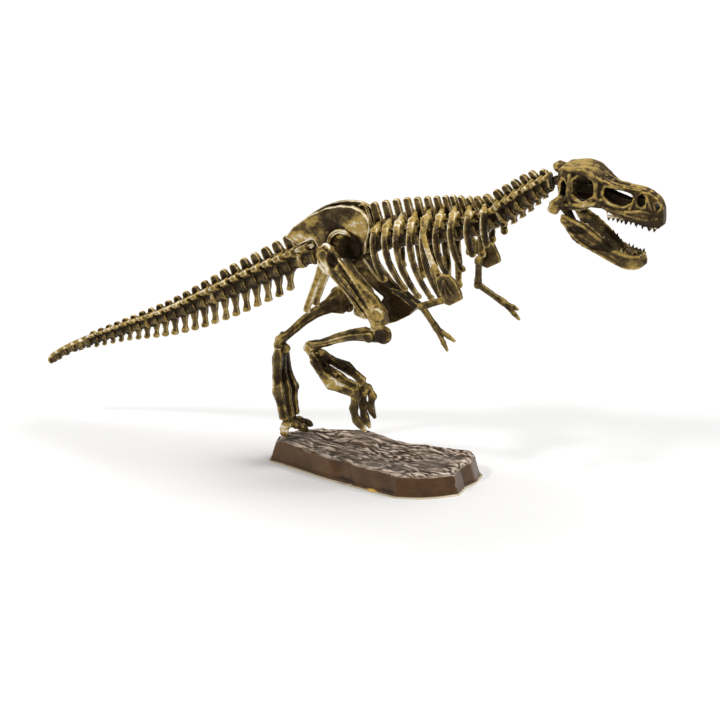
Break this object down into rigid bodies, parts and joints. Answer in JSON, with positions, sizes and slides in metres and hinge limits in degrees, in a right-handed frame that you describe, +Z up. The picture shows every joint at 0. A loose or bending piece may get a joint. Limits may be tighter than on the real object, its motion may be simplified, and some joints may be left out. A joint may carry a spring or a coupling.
{
  "type": "moulded plastic dinosaur skeleton model kit on a rock base",
  "caption": "Assembled desk-size plastic model of a large theropod skeleton, striding with its jaws open, standing by its left foot on a low rock-shaped base.",
  "frame": {"origin": "on the underside of the rock base, in the plane of the backbone", "axes": "+X towards the head, +Y to the animal's left, +Z up"},
  "size_m": [0.2989, 0.048, 0.1606],
  "materials": {
    "bone": "glossy near-black brown with an olive-gold dry-brushed wash on the raised edges",
    "rock": "satin chocolate brown with pale pinkish-cream paint on its ridges"
  },
  "bodies": {
    "root": {"skull": "bone", "lower_jaw": "bone", "neck": "bone", "trunk_right": "bone", "trunk_left": "bone", "sacrum": "bone", "pelvis_right": "bone", "pelvis_left": "bone", "tail_base": "bone", "tail_middle": "bone", "tail_tip": "bone", "thigh_right": "bone", "thigh_left": "bone", "shin_right": "bone", "shin_left": "bone", "foot_right": "bone", "foot_left": "bone", "toes_right": "bone", "toes_left": "bone", "shoulder_right": "bone", "shoulder_left": "bone", "upper_arm_right": "bone", "upper_arm_left": "bone", "hand_right": "bone", "hand_left": "bone", "rock_base": "rock"}
  },
  "joints": []
}
